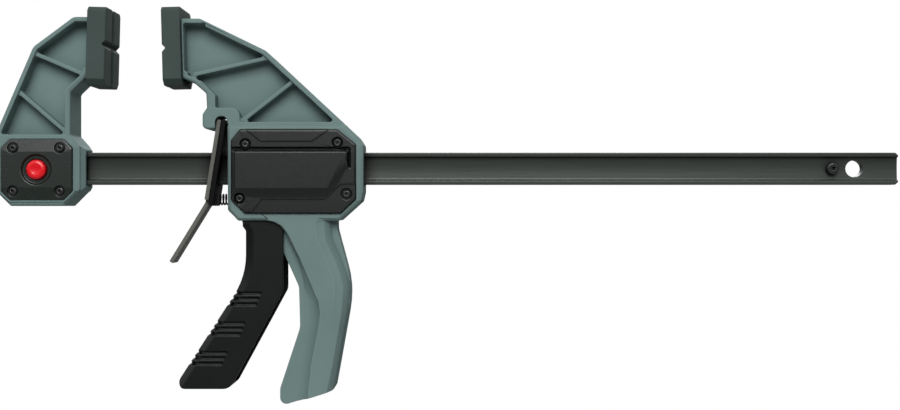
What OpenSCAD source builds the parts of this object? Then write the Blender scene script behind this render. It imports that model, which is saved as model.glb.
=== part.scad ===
// One-hand bar clamp: trigger drive, release lever and a fixed jaw with a lock button.
// X runs along the bar toward its free end and Z up toward the tips of the jaws.
// The origin is the centre of the hanging hole near the bar's free end.

/* [Bar] */
// Height of the bar
bar_h = 19; // [17:0.5:21]
// Width across the flanges
bar_w = 9.5; // [8.5:0.5:10.5]
// Thickness of the web between the flanges
bar_web = 5.6; // [4.6:0.2:6.2]
// Height of each flange
bar_lip = 2.4; // [1.8:0.1:2.8]
// Distance from the hanging hole to the lock pin
bar_reach = 481.5; // [400:0.5:600]
// Distance from the hanging hole to the bar's free end
bar_tail = 25.5; // [20:0.5:40]
// Distance from the lock pin to the bar's end in the fixed jaw
bar_nose = 12.5; // [9:0.5:14]
// Diameter of the hanging hole
hang_hole_d = 10; // [6:0.5:12]
// Distance from the hanging hole to the stop screw
stop_gap = 13.3; // [12:0.1:20]
// Diameter of the stop screw
stop_d = 4; // [3:0.5:5]

/* [Jaws] */
// Depth of the throat, from the top of the bar to the top of the pads
throat = 85; // [78:0.5:95]
// Gap between the pads at rest
jaw_gap = 34; // [10:0.5:100]
// Width of both jaws
jaw_w = 23; // [21:0.5:26]
// Thickness of the web between a jaw's pockets
jaw_web = 5; // [3:0.5:8]
// Width of the rim round the pockets
rim = 2.8; // [2:0.1:3.5]
// Width of the ribs
rib = 2.2; // [2:0.1:4]
// Depth of the ribs' crests below the rim
rib_drop = 1.6; // [0:0.1:2]
// Chamfer along the edges of the jaws
jaw_chamfer = 1; // [0.5:0.1:1.4]
// Lean of each pad toward the other, in degrees
toe = 1.5; // [0:0.25:2]

/* [Pads] */
// Thickness of a pad, from its seat to its working face
pad_t = 11; // [9:0.5:13]
// Width of a pad
pad_w = 31; // [28:0.5:34]
// Height of a pad
pad_h = 46; // [42:0.5:48]
// Depth of the V grooves for round work
groove_depth = 2.2; // [1:0.1:3]
// Depth of the seat that takes the jaw's tongue
tongue_l = 4; // [2:0.5:6]

/* [Fixed jaw] */
// Distance from the lock pin to the jaw's back
block_back = 25.2; // [23:0.1:30]
// Distance from the lock pin to the jaw's front face
block_face = 24.7; // [23:0.1:28]
// Depth of the block below the bar
block_drop = 12.6; // [10:0.1:16]
// Length of the collar where the bar enters
collar_l = 2.3; // [1:0.1:4]
// Distance of the lock pin below the bar's centre line
lock_drop = 0.8; // [0:0.1:1.5]
// Thickness of the lock cover plates
lock_plate_t = 2; // [1.5:0.1:3]
// Diameter of the lock button
button_d = 12.3; // [10:0.1:13]
// Diameter of the lock pin
lock_pin_d = 6.2; // [5:0.1:7]
// Diameter of the lock pin's neck
lock_neck_d = 3.2; // [2.4:0.1:4]
// Travel of the lock button
button_travel = 3.5; // [3.4:0.1:3.8]

/* [Sliding body] */
// Width of the housing and the grip
body_w = 28; // [27:0.5:31]
// Distance from the body's middle to its front
body_front = 39.4; // [38:0.1:44]
// Distance from the body's middle to its back
body_back = 40; // [38:0.1:46]
// Depth of the housing below the bar
body_drop = 21.2; // [20:0.1:24]
// Length of the handle below the bar
handle_l = 131.4; // [120:0.5:150]
// Thickness of the handle's front blade
blade_w = 16; // [12:0.5:17]
// Chamfer along the edges of the housing
housing_chamfer = 1.6; // [0.5:0.1:2]
// Thickness of the mechanism covers
cover_t = 2; // [1.5:0.1:3]
// Height of the raised panel on a mechanism cover
panel_t = 1.6; // [0.8:0.1:2]

/* [Trigger] */
// Length of the trigger below the bar
trigger_l = 119.9; // [110:0.5:130]
// Width of the trigger
trigger_w = 23; // [22:0.5:24]
// Thickness of the trigger's side walls
trigger_wall = 2.4; // [2:0.1:2.8]
// Thickness of the trigger's front wall
trigger_front = 4.2; // [3.8:0.1:5]
// Depth of the trigger's grip grooves
grip_depth = 0.7; // [0.3:0.1:1]
// Diameter of the trigger's pin
trigger_pin_d = 5; // [4:0.5:6]
// Swing of the trigger, in degrees
trigger_swing = 8; // [5:0.5:8]

/* [Drive] */
// Thickness of one drive plate
drive_t = 2.4; // [2:0.1:3]
// Number of drive plates
drive_count = 2; // [1:1:2]
// Width of a drive plate
drive_w = 22; // [21:0.5:23]
// Height of a drive plate beyond the bar, above and below
drive_lug = 4.5; // [4:0.1:4.7]
// Wire of the drive spring
drive_wire = 1.2; // [0.8:0.1:1.4]

/* [Release] */
// Thickness of the release lever and of the brake plate
lever_t = 2.5; // [2:0.1:2.7]
// Cant of both plates at rest, in degrees
cant = 9; // [8:0.5:10]
// Width of the release lever round the bar
lever_w = 20; // [18:0.5:22]
// Width of the release lever's tail
tail_w = 12; // [8:0.5:16]
// Length of the release lever's tail
tail_l = 41; // [25:0.5:45]
// Bend of the release lever's tail, in degrees
tail_bend = 22.5; // [10:0.5:30]
// Depth of the brake plate below the bar
brake_drop = 13; // [12.5:0.1:14]
// Outer diameter of the brake spring
brake_spring_d = 7; // [6:0.5:8]
// Wire of the brake spring
brake_wire = 0.8; // [0.6:0.1:0.8]

/* [Screws] */
// Diameter of the cover screws
screw_d = 2.7; // [2.2:0.1:2.8]
// Length of the cover screws below their heads
screw_l = 8; // [6:0.5:8]
// Diameter of the cover screws' heads
head_d = 4.6; // [4.2:0.1:5]
// Diameter of the counterbores round the heads
counterbore_d = 6.6; // [6:0.1:6.8]
// Depth of the counterbores
counterbore_l = 1.3; // [1:0.1:1.4]

/* [Fits] */
// Sliding clearance between pieces that move past each other
slide_gap = 0.3; // [0.2:0.05:0.5]
// Radial clearance of a pin that turns or slides in its bore
pin_gap = 0.08; // [0.02:0.01:0.1]
// Clearance of a piece in its fixed seat
seat_gap = 0.1; // [0.05:0.05:0.3]

/* [Hidden] */

$fn = 48;
eps = 0.01;

green = "#6a7f7c";
black = "#1f2321";
dark = "#3a3f3d";
steel = "#4b4c47";
bright = "#8f9390";
red = "#e01a2b";

// Heights measured from the bar's centre line
bt = bar_h / 2;
pad_top = bt + throat;
pad_bottom = pad_top - pad_h;

// Fixed jaw, measured from the lock pin
fixed_seat = 29.3;
fixed_top = pad_top - 5.6;
block_chamfer = 9.4;
lock_screw_x = 13.7;
lock_screw_z = bt + 3.1;
lock_spots = [for (x = [-1, 1], z = [-1, 1]) [x * lock_screw_x, z * lock_screw_z]];
lock_plate_x = 21;
lock_plate_z = lock_screw_z + 5.2;
pin_wide_start = -0.4;
pin_wide_end = 6.5;
spring_seat = 3.5;
flange_d = 14.4;
flange_t = 1.2;

// Sliding body, measured from its middle
moving_seat = 65.7;
moving_top = pad_top - 6.6;
slider_at = bar_reach - fixed_seat - pad_t - jaw_gap - pad_t - moving_seat;
slot_w = 7.6;
slot_top = bt + 21.1;
housing_top = bt + 15.6;
cover_left = body_front - 2.4;
cover_right = body_back - 4;
cover_top = bt + 13.2;
cover_bottom = bt + 16.9;
screw_spots = [
    [11 - body_front, bt + 4.5],
    [body_back - 14.8, bt + 5.3],
    [7.6 - body_front, -bt - 8.2],
    [body_back - 9.6, -bt - 5.6]
];
handle_end = -bt - handle_l;

// Trigger and drive, measured from the body's middle
pivot = [-19, bt + 5.1];
trigger_end = -bt - trigger_l;
arm_in = trigger_w / 2 - trigger_wall;
eye_r = 5.2;
nose_r = 2;
nose = [pivot.x + 4.7, -bt - 1.5];
drive_x = nose.x + nose_r + slide_gap;
drive_pitch = drive_t + seat_gap;
drive_end = drive_x + drive_count * drive_pitch;
spring_in = norm([bt, bar_w / 2]) + slide_gap;
spring_out = spring_in + drive_wire;
chamber_front = drive_x - 1.5;
chamber_back = 21.5;
chamber_z = bt + drive_lug + 0.6;

// Release lever and brake plate, measured from the body's middle
brake_pivot = [-body_front - 2.45, bt + 17.9];
lever_pivot = brake_pivot - [lever_t + 0.55, 0];
brake_spring_z = -bt - 8.7;
brake_seat = 5;

// ---- Outlines and shared shapes ----

function unit(v) = v / norm(v);
function flat2(c) = [c[0], c[1]];
function lean(z, foot) = (z - foot) * tan(toe);

// The arc that rounds corner p between its neighbours a and b, in steps of so many degrees
function corner(a, p, b, r, step) =
    r <= 0 ? [p] :
    let (
        u = unit(a - p),
        v = unit(b - p),
        half = acos(max(-1, min(1, u * v))) / 2,
        t = min(r / tan(half), 0.48 * norm(a - p), 0.48 * norm(b - p)),
        rr = t * tan(half),
        c = p + unit(u + v) * rr / sin(half),
        s = p + u * t - c,
        e = p + v * t - c,
        first = atan2(s.y, s.x),
        sweep = atan2(cross(s, e), s * e),
        steps = max(2, ceil((abs(sweep) - eps) / step))
    )
    [for (i = [0:steps]) c + rr * [cos(first + sweep * i / steps), sin(first + sweep * i / steps)]];

// How far edge i moves in: a corner's fourth value scales the inset of the edge after it,
// and an edge with a scale of 0 steps out of the way
function edge_inset(c, i, inset) =
    is_undef(c[i][3]) ? inset : c[i][3] == 0 && inset != 0 ? -1 : inset * c[i][3];

// 1 for an outline that runs anticlockwise and -1 for one that runs clockwise
function turn_of(c) =
    let (n = len(c))
    sign([for (i = [0:n - 1]) cross(flat2(c[i]), flat2(c[(i + 1) % n]))] * [for (i = [0:n - 1]) 1]);

// Corner i with both of its edges moved in, as [x, z, radius]
function moved(c, i, inset, turn) =
    let (
        n = len(c),
        before = (i + n - 1) % n,
        p = flat2(c[i]),
        u = unit(p - flat2(c[before])),
        v = unit(flat2(c[(i + 1) % n]) - p),
        du = edge_inset(c, before, inset),
        dv = edge_inset(c, i, inset),
        q = p + turn * (v * du - u * dv) / cross(u, v),
        r = c[i][2]
    )
    [q.x, q.y, r <= 0 ? 0 : max(0.1, r - sign(turn * cross(u, v)) * (du + dv) / 2)];

// An outline whose corners are given as [x, z, radius], moved in by an inset
function rounded(c, inset = 0) =
    let (n = len(c), turn = turn_of(c), q = [for (i = [0:n - 1]) moved(c, i, inset, turn)])
    [
        for (i = [0:n - 1])
            let (before = flat2(q[(i + n - 1) % n]), after = flat2(q[(i + 1) % n]))
            each corner(before, flat2(q[i]), after, q[i][2], c[i][2] > 6 ? 6 : 18)
    ];

// An outline's corners, moved out by a distance
function grown(c, by) = [for (i = [0:len(c) - 1]) moved(c, i, -by, turn_of(c))];

function reversed(v) = [for (i = [len(v) - 1:-1:0]) v[i]];

// A solid through loops of the same number of points, each clockwise as seen from the next one
module loft(loops) {
    n = len(loops[0]);
    m = len(loops);
    walls = [
        for (i = [0:m - 2])
            for (k = [0:n - 1])
                let (a = i * n + k, b = i * n + (k + 1) % n)
                each [[a, b, a + n], [b, b + n, a + n]]
    ];
    ends = [[for (k = [0:n - 1]) n - 1 - k], [for (k = [0:n - 1]) (m - 1) * n + k]];
    polyhedron(points = [for (l = loops) each l], faces = concat(walls, ends), convexity = 10);
}

// A loop of an outline, moved in by an inset, at a distance y across the clamp
function ring(outline, inset, y) =
    let (c = rounded(outline, inset))
    [for (p = turn_of(outline) > 0 ? c : reversed(c)) [p.x, y, p.y]];

// A slab of width w on the middle plane whose two outlines are chamfered
module chamfered(outline, w, chamfer) {
    intersection() {
        centred(w)
            polygon(rounded(outline));
        loft([
            ring(outline, 2 * chamfer, -w / 2 - chamfer),
            ring(outline, -chamfer, 2 * chamfer - w / 2),
            ring(outline, -chamfer, w / 2 - 2 * chamfer),
            ring(outline, 2 * chamfer, w / 2 + chamfer)
        ]);
    }
}

module slab(y0, y1) {
    translate([0, y1, 0])
        rotate([90, 0, 0])
            linear_extrude(y1 - y0)
                children();
}

module centred(w) {
    slab(-w / 2, w / 2)
        children();
}

module both(y0, y1) {
    slab(y0, y1)
        children();
    slab(-y1, -y0)
        children();
}

// A bore or rod across the clamp at [x, z]
module across(d, y0, y1, at = [0, 0]) {
    translate([at.x, y0, at.y])
        rotate([-90, 0, 0])
            cylinder(d = d, h = y1 - y0);
}

// A turned piece whose profile is [radius, distance toward the front]
module turned(profile, at = [0, 0]) {
    translate([at.x, 0, at.y])
        rotate([90, 0, 0])
            rotate_extrude()
                polygon(profile);
}

module front_and_back() {
    children();
    mirror([0, 1, 0])
        children();
}

module at_jaw() {
    translate([-bar_reach, 0, 0])
        children();
}

module at_lock() {
    translate([0, 0, -lock_drop])
        children();
}

module at_slider() {
    translate([-slider_at, 0, 0])
        children();
}

// A rib from a to b in the plane of the jaws
module rib_line(a, b) {
    d = unit(b - a);
    n = [-d.y, d.x] * rib / 2;
    polygon([a - d * rib - n, b + d * rib - n, b + d * rib + n, a - d * rib + n]);
}

// A helical spring along X from the origin
module coil(outer, wire, length, turns, sides = 8, steps = 14) {
    count = turns * steps;
    r = (outer - wire) / 2;
    loft([
        for (i = [0:count])
            let (a = 360 * i / steps, x = wire / 2 + (length - wire) * i / count)
            [
                for (k = [0:sides - 1])
                    let (q = 360 * k / sides, rho = r + wire / 2 * cos(q))
                    [x + wire / 2 * sin(q), rho * cos(a), rho * sin(a)]
            ]
    ]);
}

// A socket screw with its head's underside at distance y toward the front
module screw(at, y, head_d, head_h, shank_d, shank_l, key) {
    difference() {
        turned([
            [0, y + head_h],
            [head_d / 2 - 0.6, y + head_h],
            [head_d / 2, y + head_h - 0.6],
            [head_d / 2, y],
            [shank_d / 2, y],
            [shank_d / 2, y - shank_l + 0.6],
            [shank_d / 2 - 0.6, y - shank_l],
            [0, y - shank_l]
        ], at);
        translate([at.x, -y - head_h * 0.4, at.y])
            rotate([90, 0, 0])
                cylinder(d = key, h = head_h, $fn = 6);
    }
}

// A cover screw in a face at distance y toward the front, and its hole and counterbore
module cover_screw(at, y) {
    screw(at, y - counterbore_l, head_d, counterbore_l, screw_d, screw_l, head_d / 2);
}

module screw_seat(at, y) {
    across(screw_d + 0.4, -2 * y, 0, at);
    across(counterbore_d, -2 * y, counterbore_l - y, at);
}

// A plate from y0 to y1 toward the front whose outer edge is bevelled
module raised(outline, y0, y1, bevel) {
    loft([ring(outline, bevel, -y1), ring(outline, 0, bevel - y1), ring(outline, 0, -y0)]);
}

// ---- Bar and stop ----

bar_section = [
    [-bar_w / 2, -bt, 0.6],
    [bar_w / 2, -bt, 0.6],
    [bar_w / 2, -bt + bar_lip, 0.5],
    [bar_web / 2, -bt + bar_lip + 0.6, 0.8],
    [bar_web / 2, bt - bar_lip - 0.6, 0.8],
    [bar_w / 2, bt - bar_lip, 0.5],
    [bar_w / 2, bt, 0.6],
    [-bar_w / 2, bt, 0.6],
    [-bar_w / 2, bt - bar_lip, 0.5],
    [-bar_web / 2, bt - bar_lip - 0.6, 0.8],
    [-bar_web / 2, -bt + bar_lip + 0.6, 0.8],
    [-bar_w / 2, -bt + bar_lip, 0.5]
];

module bar() {
    lock_hole = lock_pin_d + 2 * pin_gap;
    neck_slot = lock_neck_d + 0.4;
    end_bevel = 1.2;
    color(steel)
    difference() {
        translate([-bar_reach - bar_nose, 0, 0])
            rotate([90, 0, 90])
                linear_extrude(bar_nose + bar_reach + bar_tail)
                    polygon(rounded(bar_section));
        across(hang_hole_d, -bar_w, bar_w);
        across(stop_d + 2 * seat_gap, -bar_w, bar_w, [-stop_gap, 0]);
        at_jaw() at_lock() {
            across(lock_hole, -bar_w, bar_w);
            translate([-bar_nose - 1, -bar_w / 2, -neck_slot / 2])
                cube([bar_nose + 1, bar_w, neck_slot]);
        }
        for (s = [-1, 1])
            translate([bar_tail, 0, s * bt])
                rotate([0, 45, 0])
                    cube([2 * end_bevel, 2 * bar_w, 2 * end_bevel], center = true);
    }
}

stop_head_d = 1.7 * stop_d;
stop_head_h = 3.1;

module stop_screw() {
    color(steel)
        screw([-stop_gap, 0], bar_web / 2, stop_head_d, stop_head_h, stop_d, bar_web + 3.6, 0.75 * stop_d);
}

module stop_nut() {
    color(steel)
    difference() {
        translate([-stop_gap, bar_web / 2, 0])
            rotate([-90, 0, 0])
                cylinder(d = 1.9 * stop_d, h = 3, $fn = 6);
        across(stop_d + 2 * seat_gap, 0, bar_w, [-stop_gap, 0]);
    }
}

// ---- Fixed jaw ----

fixed_outline = [
    [fixed_seat + lean(pad_top - 39.7, pad_bottom), pad_top - 39.7, 0, 0],
    [fixed_seat + lean(fixed_top, pad_bottom), fixed_top, 0],
    [21, fixed_top, 4],
    [-2.7, pad_top - 23.2, 8],
    [-block_back, bt + 9.4, 4],
    [-block_back, block_chamfer - bt - block_drop, 1.5],
    [block_chamfer - block_back, -bt - block_drop, 1.5],
    [block_face - block_chamfer, -bt - block_drop, 1.5],
    [block_face, block_chamfer - bt - block_drop, 1.5, 1.8],
    [block_face, bt + 3.6, 1.5, 1.8],
    [block_face - 5.7, bt + 10, 1.5, 1.8],
    [block_face - 5.7, pad_top - 49.7, 2.5, 1.8]
];

// The inside of a jaw's rim, open toward the pad
module rim_inside(outline, seat, foot, top) {
    offset(delta = -rim)
        polygon(rounded(outline));
    polygon([
        [seat * 0.8, foot + 4],
        [(seat - sign(seat)) + sign(seat) * lean(foot + 4, pad_bottom), foot + 4],
        [(seat - sign(seat)) + sign(seat) * lean(top - rim, pad_bottom), top - rim],
        [seat * 0.8, top - rim]
    ]);
}

module fixed_pocket(ribs) {
    offset(r = 1.2)
        offset(delta = -1.2)
            difference() {
                rim_inside(fixed_outline, fixed_seat, pad_top - 39.7, fixed_top);
                translate([-block_back, -bt - block_drop])
                    square([block_back + block_face, bt + block_drop + bt + 10.3]);
                if (ribs) {
                    rib_line([-2, pad_top - 27], [26, pad_top - 39]);
                    rib_line([-12, pad_top - 49], [15, bt + 12.8]);
                }
            }
}

// Both sides' pockets, with the crests of their ribs a little below the rim
module pockets() {
    both(jaw_web / 2, jaw_w)
        children(0);
    both(jaw_w / 2 - rib_drop, jaw_w)
        children(1);
}

// The tongue that a pad slips over, standing on its seat and leaning with it
module pad_tongue(gap) {
    translate([-1, -jaw_w / 2 + 2.5 - gap, 9 - gap])
        cube([1 + tongue_l + gap, jaw_w - 5 + 2 * gap, 27 + 2 * gap]);
}

module at_fixed_seat() {
    translate([fixed_seat, 0, pad_bottom])
        rotate([0, toe, 0])
            children();
}

// The tapered snout where the bar enters
module collar() {
    hull() {
        translate([block_face - 1, -jaw_w / 2 + 2, -bt - 4])
            cube([1, jaw_w - 4, bar_h + 7.6]);
        translate([block_face, -6.6, -bt - 1.6])
            cube([collar_l, 13.2, bar_h + 3.2]);
    }
}

module fixed_jaw() {
    socket_w = bar_w + 2 * seat_gap;
    socket_h = bar_h + 2 * seat_gap;
    color(green)
    at_jaw()
    difference() {
        union() {
            chamfered(fixed_outline, jaw_w, jaw_chamfer);
            collar();
            at_fixed_seat()
                pad_tongue(0);
            at_lock()
                both(jaw_w / 2 - 1, jaw_w / 2 + 0.7)
                    lock_border();
        }
        pockets() {
            fixed_pocket(true);
            fixed_pocket(false);
        }
        translate([-bar_nose - 0.5, -socket_w / 2, -socket_h / 2])
            cube([bar_nose + block_face + 10, socket_w, socket_h]);
        at_lock() {
            across(lock_pin_d + 2 * pin_gap, -jaw_w, jaw_w);
            across(flange_d + 0.6, -jaw_w, flange_t + button_travel + 0.9 - jaw_w / 2);
            for (p = lock_spots)
                front_and_back()
                    across(screw_d + 0.2, -jaw_w, screw_l - jaw_w / 2, p);
        }
    }
}

// The narrow border that stands round a lock cover
module lock_border() {
    difference() {
        polygon(rounded(grown(lock_plate, seat_gap + 1.2)));
        polygon(rounded(grown(lock_plate, seat_gap)));
    }
}

lock_plate = [
    [-lock_plate_x, -lock_plate_z + 5.3, 0],
    [-lock_plate_x + 5.3, -lock_plate_z, 0],
    [lock_plate_x - 5.3, -lock_plate_z, 0],
    [lock_plate_x, -lock_plate_z + 5.3, 0],
    [lock_plate_x, lock_plate_z - 5.3, 0],
    [lock_plate_x - 5.3, lock_plate_z, 0],
    [-lock_plate_x + 5.3, lock_plate_z, 0],
    [-lock_plate_x, lock_plate_z - 5.3, 0]
];

// The cover's face is level round the button and slopes back above and below it
module lock_cover(opening) {
    foot = jaw_w / 2;
    face = foot + lock_plate_t;
    low = face - 1;
    level = lock_plate_z - 7.3;
    dish_d = button_d + 5.5;
    difference() {
        intersection() {
            raised(lock_plate, foot, face + 1, 1.9);
            translate([-lock_plate_x - 1, 0, 0])
                rotate([90, 0, 90])
                    linear_extrude(2 * lock_plate_x + 2)
                        polygon([
                            [-foot, -lock_plate_z - 1],
                            [-foot, lock_plate_z + 1],
                            [-low, lock_plate_z + 1],
                            [-low, lock_plate_z],
                            [-face, level],
                            [-face, -level],
                            [-low, -lock_plate_z],
                            [-low, -lock_plate_z - 1]
                        ]);
        }
        turned([[0, face + 1], [dish_d / 2 + 1, face + 1], [dish_d / 2 - 0.8, face - 1.3], [0, face - 1.3]]);
        if (opening)
            across(button_d + 0.3, -jaw_w, 0);
        for (p = lock_spots)
            screw_seat(p, face);
    }
}

module lock_cover_front() {
    color(dark)
    at_jaw() at_lock()
        lock_cover(true);
}

module lock_cover_back() {
    color(dark)
    at_jaw() at_lock()
        mirror([0, 1, 0])
            lock_cover(false);
}

module lock_screws() {
    for (p = lock_spots)
        cover_screw(p, jaw_w / 2 + lock_plate_t);
}

module lock_screws_front() {
    color(steel)
    at_jaw() at_lock()
        lock_screws();
}

module lock_screws_back() {
    color(steel)
    at_jaw() at_lock()
        mirror([0, 1, 0])
            lock_screws();
}

// Distance of the button's flange and of its pin's head toward the front
flange_face = jaw_w / 2 - slide_gap;
pin_head = flange_face + 1;

module lock_button() {
    r = button_d / 2;
    crown = jaw_w / 2 + lock_plate_t + 1.4;
    dome = [for (i = [0:6]) [r * sin(15 * i), crown - 1.9 + 1.9 * cos(15 * i)]];
    color(red)
    at_jaw() at_lock()
    turned(concat(dome, [
        [r, flange_face],
        [flange_d / 2, flange_face],
        [flange_d / 2, flange_face - flange_t],
        [lock_neck_d / 2, flange_face - flange_t],
        [lock_neck_d / 2, pin_head],
        [0, pin_head]
    ]));
}

module lock_pin() {
    color(bright)
    at_jaw() at_lock()
    turned([
        [0, pin_head],
        [lock_neck_d / 2, pin_head],
        [lock_neck_d / 2, -pin_wide_start],
        [lock_pin_d / 2, -pin_wide_start],
        [lock_pin_d / 2, -pin_wide_end],
        [lock_pin_d / 2 - 0.8, -pin_wide_end],
        [lock_pin_d / 2 - 0.8, -spring_seat],
        [0, -spring_seat]
    ]);
}

module lock_spring() {
    color(bright)
    at_jaw() at_lock()
    translate([0, spring_seat, 0])
        rotate([0, 0, 90])
            coil(lock_pin_d - 1.8, 0.5, jaw_w / 2 - spring_seat, 5, 6, 12);
}

// ---- Pads ----

// A pad seated on x = 0 and facing +X, with its foot at z = 0 and a cross groove at the given height
module pad(groove) {
    half = pad_w / 2;
    bottom = 3.8;
    top = 2.3;
    plan = [
        [0, -half, 0],
        [pad_t, -half, 1.2],
        [pad_t, half, 1.2],
        [0, half, 0]
    ];
    front = [
        [bottom - half, 0, 0.8],
        [half - bottom, 0, 0.8],
        [half, bottom, 0.8],
        [half, pad_h - top, 0.8],
        [half - top, pad_h, 0.8],
        [top - half, pad_h, 0.8],
        [-half, pad_h - top, 0.8],
        [-half, bottom, 0.8]
    ];
    vee = [[0, -groove_depth], [groove_depth, 0], [0, groove_depth], [-groove_depth, 0]];
    difference() {
        intersection() {
            rotate([90, 0, 90])
                linear_extrude(pad_t)
                    polygon(rounded(front));
            linear_extrude(pad_h)
                polygon(rounded(plan));
        }
        translate([pad_t, 0, groove])
            centred(2 * pad_w)
                polygon(vee);
        translate([pad_t, 0, -1])
            linear_extrude(pad_h + 2)
                polygon(vee);
        pad_tongue(seat_gap);
    }
}

module fixed_pad() {
    color(dark)
    at_jaw()
        at_fixed_seat()
            pad(24);
}

module at_moving_seat() {
    translate([-moving_seat, 0, pad_bottom])
        mirror([1, 0, 0])
            rotate([0, toe, 0])
                children();
}

module moving_pad() {
    color(dark)
    at_slider()
        at_moving_seat()
            pad(21.8);
}

// ---- Sliding body ----

body_outline = [
    [-moving_seat - lean(moving_top, pad_bottom), moving_top, 0, 0],
    [-moving_seat - lean(pad_top - 41.8, pad_bottom), pad_top - 41.8, 0],
    [-body_front - 20.1, pad_top - 44.2, 3],
    [-body_front - 12.8, bt + 34.5, 2],
    [-body_front - 12.4, bt + 26, 1],
    [-body_front - 15, bt + 22.3, 2],
    [-body_front - 15, bt + 13.5, 3],
    [-body_front - slot_w, bt + 13.5, 0.8, 0],
    [-body_front - slot_w, slot_top, slot_w / 2 - 0.1, 0],
    [-body_front, slot_top, slot_w / 2 - 0.1, 0],
    [-body_front, 6 - bt - body_drop, 2],
    [6.2 - body_front, -bt - body_drop, 2],
    [body_back - 14, -bt - body_drop, 2],
    [body_back - 1.2, -bt - 9.7, 2],
    [body_back, -bt - 4.3, 1.5],
    [body_back, bt + 4.3, 3],
    [body_back - 3, bt + 8.9, 4],
    [-17.4, pad_top - 25.4, 6],
    [-moving_seat + 9.7, moving_top, 4]
];

housing_outline = [
    [-body_front, housing_top, 0.8],
    [0.9 - body_front, 6 - bt - body_drop, 2],
    [6.2 - body_front, -bt - body_drop, 2],
    [body_back - 14, -bt - body_drop, 2],
    [body_back - 1.2, -bt - 9.7, 2, 1.4],
    [body_back, -bt - 4.3, 1.5, 1.4],
    [body_back, bt + 4.3, 3, 1.4],
    [body_back - 3, bt + 8.9, 4, 1.4],
    [body_back - 10.3, housing_top, 1]
];

// The handle's side, from the front of its blade to its back
handle_outline = [
    [-30, 4 - bt - body_drop, 0],
    [-15.5, -bt - body_drop, 0],
    [1.9, handle_end + 71.4, 7],
    [2.6, handle_end + 47.4, 14],
    [-9.2, handle_end + 11.5, 7],
    [-9.2, handle_end + 1, 4],
    [22.9, handle_end + 10.9, 3],
    [33.6, handle_end + 70.5, 60],
    [24.2, -bt - body_drop - 5, 12],
    [24.2, 4 - bt - body_drop, 0]
];

// Where the handle's side begins, where it rounds to the back and the depth of the step there,
// by height below the bar
grip_start = [
    [-150, 6.4], [-122.9, 8], [-105.4, 9.8], [-82, 14.4], [-74.4, 15.1], [-68.6, 14.2], [-52.8, 7.4],
    [-41.8, 2.8], [-32.4, -1.9], [-27.8, -4.2], [-24.3, -7.1], [-21.9, -11.2], [-20.9, -15.9], [-15, -16]
];
grip_end = [
    [-150, 11], [-122.9, 14], [-96, 19.5], [-74, 22.8], [-60, 23.8], [-51, 21.4],
    [-41.2, 17.4], [-32.4, 13.3], [-25.4, 12.7], [-15, 12.6]
];
grip_step = [[-82, 0], [-66, 0.8], [-22, 0.8], [-20.5, 0]];
grip_rows = [
    -15, -20.9, -21.9, -24.3, -27.8, -32.4, -41.8, -52.8, -60, -68.6, -74.4, -82, -105.4, -122.9, -150
];

// Half of the handle's section at a height below the bar, from front to back
function grip_half(row) =
    let (
        s = lookup(row, grip_start),
        e = lookup(row, grip_end),
        k = lookup(row, grip_step),
        r = 36,
        a = blade_w / 2,
        b = body_w / 2
    )
    [
        [-60, a],
        [s - 8.4, a],
        [s - 5.4, a + 0.14 * (b - a)],
        [s - 2.8, a + 0.43 * (b - a)],
        [s - 0.9, a + 0.78 * (b - a)],
        [s, b],
        [e, b],
        [e + 1.1, b - k - 0.1],
        [e + 4.4, b - k - 0.7],
        [e + 6.9, b - 3.9],
        [e + 8.6, b - 7.6],
        [r, b - 9]
    ];

module grip() {
    intersection() {
        centred(body_w)
            polygon(rounded(handle_outline));
        loft([
            for (row = grip_rows)
                let (half = grip_half(row))
                [
                    for (p = half) [p.x, -p.y, row - bt],
                    for (p = reversed(half)) [p.x, p.y, row - bt]
                ]
        ]);
    }
}

module body_pocket(ribs) {
    boss = slot_w / 2 + 4.8;
    edge = -body_front - 7.4;
    offset(r = 1.2)
        offset(delta = -1.2)
            difference() {
                rim_inside(body_outline, -moving_seat, pad_top - 41.8, moving_top);
                translate([-body_front - 20, -bt - body_drop])
                    square([body_front + body_back + 20, bt + 17.6 + bt + body_drop]);
                translate([-body_front - slot_w / 2, slot_top - slot_w / 2])
                    polygon(rounded([
                        [-boss, -bt, 0],
                        [boss + 2.1, -bt, 0],
                        [boss + 2.1, boss, 5],
                        [-boss, boss, 2]
                    ]));
                polygon([[edge - 8, bt + 16], [edge, bt + 16], [edge, bt + 33.5], [edge - 8, bt + 41.5]]);
                if (ribs) {
                    rib_line([-moving_seat + 8, pad_top - 39], [-18, pad_top - 30]);
                    rib_line([-body_front + 6.5, bt + 17], [-3.9, bt + 39.7]);
                }
            }
}

// The bend in the trigger's front
trigger_bend = [-29.5, trigger_end + 65.7];
trigger_toe = [-72, trigger_end];
lip = [-31.4, -bt - 23];

// The trigger's side seen along Y, at rest
trigger_side = [
    [pivot.x - eye_r, pivot.y, 0],
    [lip.x, lip.y, 0.4],
    [lip.x, lip.y - 1.6, 0.8],
    [trigger_bend.x, lip.y - 4.2, 1],
    [trigger_bend.x, trigger_bend.y, 45],
    [trigger_toe.x, trigger_toe.y, 4],
    [-38.2, trigger_end, 7],
    [-6.9, trigger_end + 57.6, 6],
    [-6.9, -bt - 14.5, 3],
    [nose.x, nose.y - 3.5, 0],
    [nose.x, nose.y + 5, 0],
    [pivot.x + eye_r, pivot.y, 0]
];

// The trigger's front from top to bottom, standing clear of it beside the pivot
trigger_front_line = concat(
    [[-50, pivot.y + 12], [-50, lip.y + 6], lip, lip - [0, 1.6], [trigger_bend.x, lip.y - 4.2]],
    corner([trigger_bend.x, lip.y - 4.2], trigger_bend, trigger_toe, 45, 6),
    [trigger_toe + (trigger_toe - trigger_bend) * 0.1]
);

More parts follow.
